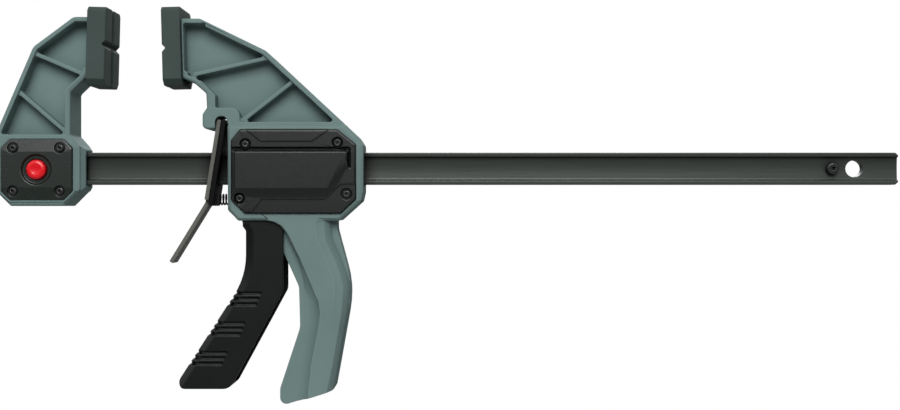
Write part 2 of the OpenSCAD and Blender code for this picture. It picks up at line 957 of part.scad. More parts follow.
// The trigger's outside with its front edges chamfered, moved in by an inset
module trigger_block(inset) {
    half = trigger_w / 2 - inset;
    bevel_x = 4.8;
    bevel_y = 3.8;
    loft([
        for (p = trigger_front_line)
            let (x = p.x + inset)
            [
                [x, bevel_y - half, p.y],
                [x + bevel_x, -half, p.y],
                [40, -half, p.y],
                [40, half, p.y],
                [x + bevel_x, half, p.y],
                [x, half - bevel_y, p.y]
            ]
    ]);
}

// Three groups of three grooves across the trigger's front and the fronts of its sides
module grip_grooves() {
    pitch = 3.2;
    land = 1.5;
    reach = 24;
    for (group = [[-21, -67], [-30.5, -84.5], [-41, -101.8]])
        for (i = [-1:1])
            translate([group.x + i * pitch * 0.4 - reach, -trigger_w, group.y - bt + i * pitch - land / 2])
                cube([reach, 2 * trigger_w, land]);
}

module trigger_side_shape() {
    polygon(rounded(trigger_side));
    translate(pivot)
        circle(r = eye_r);
    translate(nose)
        circle(r = nose_r);
}

// The front wall and the floor that join the trigger's sides
module trigger_web_shape() {
    intersection() {
        difference() {
            polygon(rounded(trigger_side));
            translate([trigger_front, 3])
                polygon(rounded(trigger_side));
        }
        translate([-trigger_l, trigger_end - eye_r])
            square([trigger_l + pivot.x + eye_r - 1.2, trigger_l + eye_r - 14]);
    }
}

module trigger_shell(inset) {
    intersection() {
        union() {
            both(arm_in, trigger_w / 2)
                trigger_side_shape();
            centred(2 * arm_in + 1)
                trigger_web_shape();
        }
        trigger_block(inset);
    }
}

// What a shape passes through while the trigger swings, with clearance
module swept(clear) {
    offset(delta = clear)
        for (i = [0:6])
            translate(pivot)
                rotate(trigger_swing * i / 6)
                    translate(-pivot)
                        children();
}

module body() {
    inner_w = trigger_w + 1.4;
    passage_w = bar_w + 2 * slide_gap;
    passage_h = bar_h + 2 * slide_gap;
    color(green)
    at_slider()
    difference() {
        union() {
            chamfered(body_outline, jaw_w, jaw_chamfer);
            chamfered(housing_outline, body_w, housing_chamfer);
            grip();
            at_moving_seat()
                pad_tongue(0);
            translate([brake_pivot.x + lever_t / 2 + slide_gap, -lever_w / 2, brake_pivot.y - 1])
                cube([2, lever_w, 2.5]);
        }
        pockets() {
            body_pocket(true);
            body_pocket(false);
        }
        translate([-body_front - 1, -passage_w / 2, -passage_h / 2])
            cube([body_front + body_back + 2, passage_w, passage_h]);
        translate([chamber_front, -body_w, -chamber_z])
            cube([chamber_back - chamber_front, 2 * body_w, 2 * chamber_z]);
        both(blade_w / 2 + 0.2, inner_w / 2)
            swept(0.7)
                trigger_side_shape();
        centred(inner_w)
            swept(0.7)
                trigger_web_shape();
        across(trigger_pin_d + 2 * seat_gap, -body_w, body_w, pivot);
        translate([-body_front - 1, 0, brake_spring_z])
            rotate([0, 90, 0])
                cylinder(d = brake_spring_d + 1, h = brake_seat + 1);
        for (p = screw_spots)
            front_and_back()
                across(screw_d + 0.2, -body_w, screw_l - body_w / 2, p);
    }
}

cover_outline = [
    [-cover_left, bt + 6.8, 1],
    [5.3 - cover_left, cover_top, 1],
    [cover_right - 10.7, cover_top, 1],
    [cover_right, bt + 4.5, 1],
    [cover_right, 8.4 - cover_bottom, 1],
    [cover_right - 9, -cover_bottom, 1],
    [8 - cover_left, -cover_bottom, 1],
    [-cover_left, 7.8 - cover_bottom, 1]
];

// The raised panel, whose lower and slanting sides slope gently
cover_panel = [
    [0.6 - cover_left, bt + 0.7, 0.4, 1.2],
    [0.6 - cover_left, -bt - 6.7, 0.4, 2.9],
    [cover_right - 16.5, -bt - 6.7, 2, 1.7],
    [cover_right - 4.6, 0.6, 1.5, 0.6],
    [cover_right - 4.6, bt + 0.7, 1.5, 0.5]
];

upper_step = [
    [8.6 - cover_left, cover_top + 0.2, 0],
    [17.4 - cover_left, bt + 6.1, 1],
    [cover_right - 25.6, bt + 6.1, 1],
    [cover_right - 15, cover_top + 0.2, 0]
];

lower_step = [
    [11 - cover_left, -1 - cover_bottom, 0],
    [cover_right + 1, -1 - cover_bottom, 0],
    [cover_right + 1, -bt + 0.3, 0],
    [cover_right - 8.8, -bt + 0.3, 1],
    [cover_right - 18, -bt - 8.6, 2],
    [18 - cover_left, -bt - 8.6, 1]
];

// The groove above the panel and down its rear side
module panel_groove() {
    polygon([
        [-cover_left - 1, bt + 0.7],
        [cover_right - 4.6, bt + 0.7],
        [cover_right - 4.6, 0.6],
        [cover_right - 3, 0],
        [cover_right - 3, bt + 1.7],
        [cover_right - 4, bt + 2.7],
        [-cover_left - 1, bt + 2.7]
    ]);
}

module mechanism_cover() {
    foot = body_w / 2;
    face = foot + cover_t;
    step = 0.7;
    difference() {
        union() {
            difference() {
                raised(cover_outline, foot, face, 0.9);
                slab(-face - 1, -face + 0.8)
                    panel_groove();
                slab(-face - 1, -face + step)
                    polygon(rounded(lower_step));
            }
            raised(cover_panel, foot, face + panel_t, panel_t);
            intersection() {
                slab(-face - step, -face + 0.5)
                    polygon(rounded(upper_step));
                raised(cover_outline, foot, face + step, 0.9);
            }
        }
        for (p = screw_spots)
            screw_seat(p, face);
    }
}

module mechanism_cover_front() {
    color(black)
    at_slider()
        mechanism_cover();
}

module mechanism_cover_back() {
    color(black)
    at_slider()
        mirror([0, 1, 0])
            mechanism_cover();
}

module cover_screws() {
    for (p = screw_spots)
        cover_screw(p, body_w / 2 + cover_t);
}

module cover_screws_front() {
    color(steel)
    at_slider()
        cover_screws();
}

module cover_screws_back() {
    color(steel)
    at_slider()
        mirror([0, 1, 0])
            cover_screws();
}

// ---- Trigger and drive ----

module trigger() {
    color(black)
    at_slider()
    difference() {
        union() {
            difference() {
                trigger_shell(0);
                grip_grooves();
            }
            trigger_shell(grip_depth);
        }
        across(trigger_pin_d + 2 * pin_gap, -trigger_w, trigger_w, pivot);
    }
}

module trigger_pin() {
    color(bright)
    at_slider()
        across(trigger_pin_d, seat_gap - body_w / 2, body_w / 2 - seat_gap, pivot);
}

module drive_plates() {
    color(bright)
    at_slider()
    for (i = [0:drive_count - 1])
        translate([drive_x + i * drive_pitch, 0, 0])
            difference() {
                translate([0, -drive_w / 2, -bt - drive_lug])
                    cube([drive_t, drive_w, bar_h + 2 * drive_lug]);
                translate([-1, -bar_w / 2 - slide_gap, -bt - slide_gap])
                    cube([drive_t + 2, bar_w + 2 * slide_gap, bar_h + 2 * slide_gap]);
            }
}

module drive_spring() {
    color(bright)
    at_slider()
    translate([drive_end, 0, 0])
        coil(2 * spring_out, drive_wire, chamber_back - drive_end - eps, 7, 8, 18);
}

// ---- Release ----

// The side of a plate that hangs from the origin
function plate_side(below) =
    let (t = lever_t / 2)
    rounded([[-t, t, 0.9 * t], [t, t, 0.9 * t], [t, -below, 0], [-t, -below, 0]]);

// The same plate with a bent tail
function bent_side(below) =
    let (
        t = lever_t / 2,
        k = t * tan(tail_bend / 2),
        along = [-sin(tail_bend), -cos(tail_bend)],
        side = [cos(tail_bend), -sin(tail_bend)] * t,
        tip = [0, -below] + along * tail_l
    )
    rounded([
        [-t, t, 0.9 * t],
        [t, t, 0.9 * t],
        [t, -below - k, lever_t + 3],
        [(tip + side).x, (tip + side).y, 0.5],
        [(tip - side).x, (tip - side).y, 0.5],
        [-t, k - below, 3]
    ]);

module canted(at) {
    translate([at.x, 0, at.y])
        rotate([0, cant, 0])
            children();
}

// A window round the bar, in a plate that hangs from a pivot at the given height
module bar_window(height, h, w) {
    translate([-lever_t, -w / 2, -height / cos(cant) - h / 2])
        cube([2 * lever_t, w, h]);
}

module brake_plate() {
    grip = (bar_h + lever_t * sin(cant)) / cos(cant);
    color(bright)
    at_slider()
    canted(brake_pivot)
    difference() {
        centred(lever_w + 2)
            polygon(plate_side(brake_pivot.y + bt + brake_drop));
        bar_window(brake_pivot.y, grip + slide_gap, bar_w + 2 * slide_gap);
    }
}

module release_lever() {
    below = lever_pivot.y + bt + brake_drop - 1.5;
    color(steel)
    at_slider()
    canted(lever_pivot)
    difference() {
        union() {
            centred(lever_w)
                polygon(plate_side(below - 2));
            centred(tail_w)
                polygon(bent_side(below));
        }
        bar_window(lever_pivot.y, bar_h + 4, bar_w + 1.4);
    }
}

module brake_spring() {
    top = brake_spring_z + brake_spring_d / 2;
    start = brake_pivot.x - (brake_pivot.y - top) * tan(cant) + lever_t / 2 / cos(cant) + seat_gap;
    color(bright)
    at_slider()
    translate([start, 0, brake_spring_z])
        coil(brake_spring_d, brake_wire, brake_seat - body_front - start - eps, 7);
}

bar();
stop_screw();
stop_nut();
fixed_jaw();
fixed_pad();
lock_cover_front();
lock_cover_back();
lock_screws_front();
lock_screws_back();
lock_button();
lock_pin();
lock_spring();
body();
moving_pad();
mechanism_cover_front();
mechanism_cover_back();
cover_screws_front();
cover_screws_back();
trigger();
trigger_pin();
drive_plates();
drive_spring();
brake_plate();
brake_spring();
release_lever();
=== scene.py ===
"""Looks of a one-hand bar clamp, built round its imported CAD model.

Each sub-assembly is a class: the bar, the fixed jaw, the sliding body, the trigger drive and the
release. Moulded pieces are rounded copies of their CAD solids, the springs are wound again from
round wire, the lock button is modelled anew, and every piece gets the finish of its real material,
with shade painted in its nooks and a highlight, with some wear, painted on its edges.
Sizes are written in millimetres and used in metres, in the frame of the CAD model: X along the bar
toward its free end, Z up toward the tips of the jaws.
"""

import logging
import math
from dataclasses import dataclass, field
from enum import Enum
from typing import Callable, Optional, Sequence

import bpy
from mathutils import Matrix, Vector


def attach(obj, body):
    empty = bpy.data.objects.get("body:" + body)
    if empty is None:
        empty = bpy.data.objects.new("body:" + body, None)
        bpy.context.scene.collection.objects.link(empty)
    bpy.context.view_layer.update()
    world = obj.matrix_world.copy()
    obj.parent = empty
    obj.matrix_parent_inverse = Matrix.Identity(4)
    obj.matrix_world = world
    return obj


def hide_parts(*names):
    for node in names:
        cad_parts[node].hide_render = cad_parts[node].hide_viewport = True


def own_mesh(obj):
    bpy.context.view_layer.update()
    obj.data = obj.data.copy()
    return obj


LOG = logging.getLogger("bar_clamp")
MM = 0.001
IMAGE_WIDTH = 900
SENSOR_MM = 36.0

# Lowest and highest value of nearly all of a noise texture
NOISE_SPREAD = (0.3, 0.7)
# How far a surface's roughness strays from its mean
ROUGHNESS_SPREAD = 0.05
# Cosine of a surface's turn where an edge's painted highlight and wear colour starts, and where it shows
# in full
EDGE_TURN = (0.995, 0.86)
# Open share round a corner where it starts to count as an outward edge, and where it is one
EDGE_OPEN = (0.75, 0.95)
# Open share deep in a nook, where shade is painted in full, and out of it
NOOK_OPEN = (0.4, 0.95)
# How many widths of an edge away a wall still counts there
EDGE_SIGHT = 3
# Samples of the rounded normal, of the open share round an edge, and of that in a nook
TURN_SAMPLES = 6
EDGE_SAMPLES = 8
NOOK_SAMPLES = 12
# Roughness of a clear skin
COAT_ROUGHNESS = 0.12

# Neighbouring faces of a solid that differ by less than this are one flat face, in degrees
FLAT_BELOW = 0.8
# A corner nearer to a plane than this lies on it, in millimetres
ON_PLANE_MM = 0.02
# A height that is below the whole clamp, in millimetres
BELOW_ALL_MM = -200.0
# Share of a rounding's width that its corners may lie away from the sharp piece
REACH_SHARE = 0.35
# Corners of a finished rounding that are nearer to each other than this are one, in millimetres
SAME_CORNER_MM = 0.002
# How far large faces lead small ones in a shared normal, 50 being not at all
FLAT_LEAD = 60
# A face looks along an axis when its normal has more than this share of it
FACING = 0.9
# Sides of a spring's wire, and steps along each of its turns
WIRE_SIDES = 12
TURN_STEPS = 28

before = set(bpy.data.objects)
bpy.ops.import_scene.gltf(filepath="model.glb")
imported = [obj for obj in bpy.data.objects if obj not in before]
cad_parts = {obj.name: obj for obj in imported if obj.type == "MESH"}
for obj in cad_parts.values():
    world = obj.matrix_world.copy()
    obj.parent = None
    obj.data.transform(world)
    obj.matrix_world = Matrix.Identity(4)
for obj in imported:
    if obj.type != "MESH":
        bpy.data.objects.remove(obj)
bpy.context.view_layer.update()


class Body(Enum):
    """The bodies that new pieces ride on."""

    BAR = "bar"
    LOCK = "lock"
    SLIDER = "slider"
    TRIGGER = "trigger"
    LEVER = "lever"
    BRAKE = "brake"


class Slot(Enum):
    """The record's material slots."""

    GREEN = "green"
    PAD = "pad"
    COVER = "cover"
    BLACK = "black"
    STEEL = "steel"
    SCREW = "screw"
    BRIGHT = "bright"
    RED = "red"


class Axis(Enum):
    """The direction that a spring is wound along."""

    X = (1.0, 0.0, 0.0)
    Y = (0.0, 1.0, 0.0)


# ---- Small helpers ----


def linear(code: str) -> tuple[float, float, float, float]:
    """Turns an sRGB hex colour into the linear one that the shaders take.

    Args:
        code: The colour as "#rrggbb".

    Returns:
        Red, green, blue and an alpha of 1.
    """
    channels = [int(code[i : i + 2], 16) / 255 for i in (1, 3, 5)]
    values = [c / 12.92 if c <= 0.04045 else ((c + 0.055) / 1.055) ** 2.4 for c in channels]
    return (*values, 1.0)


def add_node(
    tree: bpy.types.NodeTree,
    kind: str,
    inputs: Optional[dict[str | int, object]] = None,
    **settings: object,
) -> bpy.types.Node:
    """Adds a shader node with its settings, its constants and its links.

    Args:
        tree: The node tree that takes the node.
        kind: The node's type, such as "ShaderNodeBump".
        inputs: What goes into each socket: another node's output, or a constant.
        **settings: The node's own properties.

    Returns:
        The new node.
    """
    node = tree.nodes.new(kind)
    for name, value in settings.items():
        setattr(node, name, value)
    for socket, value in (inputs or {}).items():
        if isinstance(value, bpy.types.NodeSocket):
            tree.links.new(value, node.inputs[socket])
        else:
            node.inputs[socket].default_value = value
    return node


def remap(
    tree: bpy.types.NodeTree,
    value: bpy.types.NodeSocket,
    spread: tuple[float, float] = (0.0, 1.0),
    onto: tuple[float, float] = (0.0, 1.0),
    **settings: object,
) -> bpy.types.NodeSocket:
    """Maps one range of a value onto another, and holds the value inside it.

    Args:
        tree: The node tree that takes the node.
        value: The value.
        spread: The range that is mapped.
        onto: What the range's two ends become.
        **settings: The node's own properties.

    Returns:
        The new value.
    """
    inputs = {"Value": value, 1: spread[0], 2: spread[1], 3: onto[0], 4: onto[1]}
    return add_node(tree, "ShaderNodeMapRange", inputs, **settings).outputs["Result"]


def calculate(
    tree: bpy.types.NodeTree, operation: str, *values: bpy.types.NodeSocket | float, **settings: object
) -> bpy.types.NodeSocket:
    """Joins values by one operation.

    Args:
        tree: The node tree that takes the node.
        operation: The operation, such as "MULTIPLY".
        *values: Its values: other nodes' outputs, or constants.
        **settings: The node's other properties.

    Returns:
        The result.
    """
    inputs = dict(enumerate(values))
    return add_node(tree, "ShaderNodeMath", inputs, operation=operation, **settings).outputs[0]


def blend(
    tree: bpy.types.NodeTree,
    share: bpy.types.NodeSocket | float,
    under: object,
    over: object,
    blend_type: str = "MIX",
) -> bpy.types.NodeSocket:
    """Lays one colour over another.

    Args:
        tree: The node tree that takes the node.
        share: How much of the upper colour shows.
        under: The lower colour: another node's output, or a constant.
        over: The upper colour.
        blend_type: How they blend.

    Returns:
        The blended colour.
    """
    inputs = {0: share, 6: under, 7: over}
    return add_node(tree, "ShaderNodeMix", inputs, data_type="RGBA", blend_type=blend_type).outputs[2]


def deselect() -> None:
    """Deselects every object."""
    bpy.ops.object.select_all(action="DESELECT")


def make_active(piece: bpy.types.Object) -> None:
    """Selects one object alone and makes it the active one.

    Args:
        piece: The object.
    """
    deselect()
    piece.select_set(True)
    bpy.context.view_layer.objects.active = piece


def settle(piece: bpy.types.Object) -> None:
    """Applies a piece's place, turn and size to its mesh."""
    make_active(piece)
    bpy.ops.object.transform_apply(location=True, rotation=True, scale=True)


def apply_modifier(piece: bpy.types.Object, kind: str, **settings: object) -> None:
    """Adds a modifier to a piece and applies it at once.

    Args:
        piece: The piece to change.
        kind: The modifier's type, such as "BEVEL".
        **settings: The modifier's own properties.
    """
    make_active(piece)
    modifier = piece.modifiers.new(kind.title(), kind)
    for name, value in settings.items():
        setattr(modifier, name, value)
    bpy.ops.object.modifier_apply(modifier=modifier.name)


def smooth(piece: bpy.types.Object, degrees: float) -> None:
    """Shades a piece smooth, apart from edges sharper than an angle."""
    make_active(piece)
    bpy.ops.object.shade_smooth_by_angle(angle=math.radians(degrees))


def pick_faces(piece: bpy.types.Object, wanted: Callable[[bpy.types.MeshPolygon], bool]) -> None:
    """Selects the faces of a piece that a test picks, and nothing else, and starts an edit.

    Args:
        piece: The piece, in object mode.
        wanted: The test of a face.
    """
    make_active(piece)
    bpy.ops.object.mode_set(mode="EDIT")
    bpy.ops.mesh.select_mode(type="FACE")
    bpy.ops.mesh.select_all(action="DESELECT")
    bpy.ops.object.mode_set(mode="OBJECT")
    for face in piece.data.polygons:
        face.select = bool(wanted(face))
    bpy.ops.object.mode_set(mode="EDIT")


def pick_sharp(piece: bpy.types.Object, degrees: float, split_mm: float, above: bool) -> bool:
    """Selects the sharp edges of a piece on one side of a height, and starts an edit.

    Args:
        piece: The piece, in object mode.
        degrees: Edges sharper than this angle are selected.
        split_mm: The height.
        above: Whether edges wholly above it are wanted, or the others.

    Returns:
        Whether there are any.
    """
    make_active(piece)
    bpy.ops.object.mode_set(mode="EDIT")
    bpy.ops.mesh.select_mode(type="EDGE")
    bpy.ops.mesh.select_all(action="DESELECT")
    bpy.ops.mesh.edges_select_sharp(sharpness=math.radians(degrees))
    bpy.ops.object.mode_set(mode="OBJECT")
    corners = piece.data.vertices
    picked = [edge for edge in piece.data.edges if edge.select]
    for corner in corners:
        corner.select = False
    for edge in picked:
        ends = [corners[i] for i in edge.vertices]
        edge.select = (min(end.co.z for end in ends) > split_mm * MM) is above
        for end in ends:
            end.select |= edge.select
    found = any(edge.select for edge in picked)
    bpy.ops.object.mode_set(mode="EDIT")
    return found


# ---- Finishes ----


class Grain(Enum):
    """How a surface's fine texture runs, as its fineness along each axis."""

    EVEN = (1.0, 1.0, 1.0)
    ALONG_BAR = (0.03, 1.0, 1.0)
    ALONG_LEVER = (1.0, 1.0, 0.05)


@dataclass(frozen=True)
class Finish:
    """A surface: what it is made of and how it was made, with shade painted in its nooks and a highlight,
    with some wear, painted on its edges.

    Attributes:
        name: The material's name.
        colour: Its sRGB colour.
        edge_wear_and_highlight_colour: The sRGB colour painted on its outward edges, as a highlight and
            some wear.
        roughness: Roughness of the surface.
        metallic: 1 for bare metal, 0 for plastic, in between under a thin oxide.
        ior: Index of refraction.
        grain: The way the fine texture runs.
        grain_mm: Distance between the texture's grains.
        grain_height_mm: Height of the grains.
        cloud_mm: Size of the slow change of tone over the surface.
        cloud: Share by which that change lightens or darkens the colour.
        edge_mm: Radius over which an edge is rounded in shading and shows its painted highlight and wear
            colour.
        edge_wear_and_highlight_share: How much of the edge's painted highlight and wear colour shows.
        coat: Share of a clear, glossy skin.
        shine: Strength of the reflection off the surface, 0.5 being that of its index alone.
        nook_mm: How near a wall has to be for shade to be painted in a nook.
        nook: Share of the colour that is left deep in a nook, under the painted shade.
    """

    name: str
    colour: str
    edge_wear_and_highlight_colour: str
    roughness: float
    metallic: float = 0.0
    ior: float = 1.5
    grain: Grain = Grain.EVEN
    grain_mm: float = 0.9
    grain_height_mm: float = 0.02
    cloud_mm: float = 30.0
    cloud: float = 0.06
    edge_mm: float = 0.8
    edge_wear_and_highlight_share: float = 0.6
    coat: float = 0.0
    shine: float = 0.5
    nook_mm: float = 3.0
    nook: float = 0.6

    def build(self) -> bpy.types.Material:
        """Makes the material.

        Returns:
            The finished material.
        """
        material = bpy.data.materials.new(self.name)
        material.use_nodes = True
        tree = material.node_tree
        shader = tree.nodes["Principled BSDF"]
        place = add_node(tree, "ShaderNodeTexCoord").outputs["Object"]
        run = add_node(tree, "ShaderNodeMapping", {"Vector": place, "Scale": self.grain.value}).outputs[0]
        fineness = {"Scale": 1 / (self.grain_mm * MM), "Detail": 3.0, "Roughness": 0.6}
        grain = add_node(tree, "ShaderNodeTexNoise", {"Vector": run, **fineness}).outputs["Fac"]
        rounded = add_node(
            tree, "ShaderNodeBevel", {"Radius": self.edge_mm * MM}, samples=TURN_SAMPLES
        ).outputs[0]
        # Painted highlight, with some wear, on the outward edges
        colour = self._edge_wear_and_highlight(tree, self._tone(tree, run), rounded)
        # Painted shade in the nooks darkens the colour and, through the specular tint, the reflection too
        left = self._painted_nook_shade(tree)
        tree.links.new(blend(tree, 1.0, colour, left, "MULTIPLY"), shader.inputs["Base Color"])
        tree.links.new(left, shader.inputs["Specular Tint"])
        smoothest, roughest = self.roughness - ROUGHNESS_SPREAD, self.roughness + ROUGHNESS_SPREAD
        rough = remap(tree, grain, NOISE_SPREAD, (smoothest, roughest))
        tree.links.new(rough, shader.inputs["Roughness"])
        relief = {"Height": self._height(tree, grain), "Distance": 1.0, "Strength": 1.0}
        bump = add_node(tree, "ShaderNodeBump", {**relief, "Normal": rounded})
        tree.links.new(bump.outputs["Normal"], shader.inputs["Normal"])
        shader.inputs["Metallic"].default_value = self.metallic
        shader.inputs["IOR"].default_value = self.ior
        shader.inputs["Specular IOR Level"].default_value = self.shine
        shader.inputs["Coat Weight"].default_value = self.coat
        shader.inputs["Coat Roughness"].default_value = COAT_ROUGHNESS
        return material

    def _tone(self, tree: bpy.types.NodeTree, run: bpy.types.NodeSocket) -> bpy.types.NodeSocket:
        """Gives the colour with its slow change over the surface.

        Args:
            tree: The material's node tree.
            run: The place on the piece, stretched along the grain.

        Returns:
            The colour.
        """
        fineness = {"Scale": 1 / (self.cloud_mm * MM), "Detail": 4.0}
        cloud = add_node(tree, "ShaderNodeTexNoise", {"Vector": run, **fineness}).outputs["Fac"]
        tone = remap(tree, cloud, NOISE_SPREAD, (1 - self.cloud, 1 + self.cloud))
        return blend(tree, 1.0, linear(self.colour), tone, "MULTIPLY")

    def _edge_wear_and_highlight(
        self, tree: bpy.types.NodeTree, colour: bpy.types.NodeSocket, rounded: bpy.types.NodeSocket
    ) -> bpy.types.NodeSocket:
        """Paints a highlight, with some wear, in the edge's colour where the surface turns sharply and
        outward.

        Args:
            tree: The material's node tree.
            colour: The colour away from the edges.
            rounded: The normal with its edges rounded.

        Returns:
            The colour with its painted edge highlight and wear.
        """
        flat = add_node(tree, "ShaderNodeNewGeometry").outputs["Normal"]
        match = add_node(tree, "ShaderNodeVectorMath", {0: flat, 1: rounded}, operation="DOT_PRODUCT")
        turn = remap(tree, match.outputs["Value"], EDGE_TURN, (0.0, self.edge_wear_and_highlight_share))
        openness = self._openness(tree, EDGE_SIGHT * self.edge_mm, EDGE_SAMPLES)
        outward = remap(tree, openness, EDGE_OPEN)
        share = calculate(tree, "MULTIPLY", turn, outward)
        return blend(tree, share, colour, linear(self.edge_wear_and_highlight_colour))

    def _openness(self, tree: bpy.types.NodeTree, reach_mm: float, samples: int) -> bpy.types.NodeSocket:
        """Finds how open the surroundings of a place are.

        Args:
            tree: The material's node tree.
            reach_mm: How far walls count.
            samples: How many directions are tried.

        Returns:
            The open share, 1 with no wall near.
        """
        inputs = {"Distance": reach_mm * MM}
        return add_node(tree, "ShaderNodeAmbientOcclusion", inputs, samples=samples).outputs["AO"]

    def _painted_nook_shade(self, tree: bpy.types.NodeTree) -> bpy.types.NodeSocket:
        """Finds where walls stand close together, and paints shade there.

        Args:
            tree: The material's node tree.

        Returns:
            The share of colour and shine that is left, 1 in the open.
        """
        openness = self._openness(tree, self.nook_mm, NOOK_SAMPLES)
        return remap(tree, openness, NOOK_OPEN, (self.nook, 1.0))

    def _height(self, tree: bpy.types.NodeTree, grain: bpy.types.NodeSocket) -> bpy.types.NodeSocket:
        """Gives the surface's fine relief, in metres, from its grain."""
        return calculate(tree, "MULTIPLY", grain, self.grain_height_mm * MM)


@dataclass(frozen=True)
class FlangeShadeFinish(Finish):
    """The finish of a rolled bar, with shade painted under its top flange as well as in its nooks.

    Attributes:
        flange_shade_share: Share of the colour that is left under the top flange, where shade is painted.
        flange_shade_from_mm: Height where the painted shade under the flange starts.
        flange_shade_to_mm: Height from which the painted shade is darkest.
    """

    flange_shade_share: float = 0.8
    flange_shade_from_mm: float = -4.0
    flange_shade_to_mm: float = 5.0

    def _painted_nook_shade(self, tree: bpy.types.NodeTree) -> bpy.types.NodeSocket:
        """Paints shade under the top flange as well as in the nooks.

        Args:
            tree: The material's node tree.

        Returns:
            The share of colour and shine that is left.
        """
        place = add_node(tree, "ShaderNodeTexCoord").outputs["Object"]
        height = add_node(tree, "ShaderNodeSeparateXYZ", {0: place}).outputs["Z"]
        rise = (self.flange_shade_from_mm * MM, self.flange_shade_to_mm * MM)
        # scale here is the painted shade, darker toward the top flange
        scale = remap(tree, height, rise, (1.0, self.flange_shade_share), interpolation_type="SMOOTHSTEP")
        return calculate(tree, "MULTIPLY", super()._painted_nook_shade(tree), scale)


# Glass-filled nylon from a spark-eroded mould: satin, faintly mottled; painted highlight and some wear on
# its edges, painted shade in its pockets
GREEN_NYLON = Finish(
    "glass_filled_nylon_green",
    "#728885",
    "#9db1ae",
    0.78,
    ior=1.53,
    shine=0.14,
    edge_wear_and_highlight_share=0.75,
    nook_mm=9.0,
    nook=0.78,
)
# The same nylon in black, for what the hand and the screws rub, with painted edge highlights and painted
# shade in its grooves
BLACK_NYLON = Finish(
    "glass_filled_nylon_black",
    "#111513",
    "#747b78",
    0.36,
    ior=1.53,
    cloud=0.12,
    shine=0.2,
    edge_mm=0.45,
    edge_wear_and_highlight_share=0.8,
    nook_mm=4.0,
    nook=0.1,
)
# Black nylon plates, smoother than what the hand holds, with shade painted near black in their grooves
COVER_NYLON = Finish(
    "nylon_plate_black",
    "#151917",
    "#78827e",
    0.34,
    ior=1.53,
    cloud=0.1,
    shine=0.35,
    edge_mm=0.55,
    edge_wear_and_highlight_share=0.85,
    nook_mm=4.0,
    nook=0.05,
)
# Dark nylon plates with a finer texture
GREY_NYLON = Finish(
    "nylon_plate_dark", "#151f1a", "#5d6562", 0.3, ior=1.53, cloud=0.08, shine=0.5, edge_mm=0.4, nook=0.4
)
# Soft thermoplastic rubber: dull, with shade painted in its grooves and under the jaws
PAD_RUBBER = Finish(
    "thermoplastic_rubber_pad",
    "#45514e",
    "#626c69",
    0.72,
    shine=0.1,
    grain_height_mm=0.03,
    nook_mm=8.0,
    nook=0.2,
)
# Rolled steel bar under a thin black oxide, which keeps the streaks of the rolls; shade painted under its
# top flange and near the parts round it
BAR_STEEL = FlangeShadeFinish(
    "blackened_rolled_steel",
    "#3a3f3b",
    "#6e726d",
    0.32,
    metallic=0.2,
    shine=0.43,
    grain=Grain.ALONG_BAR,
    grain_mm=0.8,
    grain_height_mm=0.012,
    cloud=0.12,
    edge_mm=0.5,
    edge_wear_and_highlight_share=0.4,
    nook_mm=10.0,
    nook=0.1,
)
# Stamped and oiled steel plate: brownish, streaked along its length
LEVER_STEEL = Finish(
    "stamped_oiled_steel",
    "#64655f",
    "#85847c",
    0.45,
    metallic=0.2,
    shine=0.2,
    grain=Grain.ALONG_LEVER,
    grain_mm=0.7,
    grain_height_mm=0.015,
    cloud=0.15,
    edge_mm=0.4,
)
# Black oxide on cut steel: even and half glossy, with bright glints painted on its edges
OXIDE_STEEL = Finish(
    "black_oxide_steel",
    "#2b2d2c",
    "#a2a4a1",
    0.25,
    metallic=0.6,
    grain_mm=0.6,
    edge_mm=0.3,
    edge_wear_and_highlight_share=0.8,
)
# Manganese phosphate on hardened spring steel: dead black and dull
PHOSPHATED_STEEL = Finish(
    "phosphated_spring_steel", "#080909", "#33352f", 0.62, shine=0.1, grain_mm=0.5, edge_mm=0.3, nook=0.2
)
# Ground and drawn bare steel
BARE_STEEL = Finish(
    "drawn_bare_steel", "#3e4240", "#6b6f6d", 0.3, metallic=1.0, grain_mm=0.5, edge_mm=0.3, nook=0.15
)
# High-gloss ABS: a clear skin over an even colour, with shade painted round the button where the dish
# wall stands near
RED_ABS = Finish(
    "gloss_abs_red",
    "#ec0c1c",
    "#f42c38",
    0.3,
    ior=1.54,
    shine=0.3,
    nook_mm=6.0,
    nook=0.3,
    grain_height_mm=0.001,
    cloud=0.03,
    edge_mm=0.5,
    edge_wear_and_highlight_share=0.3,
    coat=0.35,
)


@dataclass
class Wardrobe:
    """Makes each finish once and dresses pieces with it.

    Attributes:
        made: The materials so far, by name.
    """

    made: dict[str, bpy.types.Material] = field(default_factory=dict)

    def dress(self, piece: bpy.types.Object, finish: Finish) -> None:
        """Gives a piece one finish all over.

        Args:
            piece: The piece, whether new or carried over from the CAD model.
            finish: What its surface is.
        """
        if finish.name not in self.made:
            self.made[finish.name] = finish.build()
        piece.data.materials.clear()
        piece.data.materials.append(self.made[finish.name])
        for face in piece.data.polygons:
            face.material_index = 0


# ---- What the sub-assemblies are made of ----


@dataclass(frozen=True)
class Rounding:
    """How a mould or a press rounds a piece's edges.

    Attributes:
        width_mm: Width of the rounding.
        segments: Faces across it.
        sharper_than: Edges sharper than this angle are rounded, in degrees.
        smooth_below: Edges blunter than this angle are shaded smooth, in degrees.
        join_mm: Corners nearer to each other than this are joined first.
        split_mm: Height that an edge must be wholly above to take the full width.
        fine_mm: Width of the rounding of all other edges.
    """

    width_mm: float
    segments: int = 2
    sharper_than: float = 31.0
    smooth_below: float = 32.0
    join_mm: float = 0.02
    split_mm: float = BELOW_ALL_MM
    fine_mm: float = 0.05


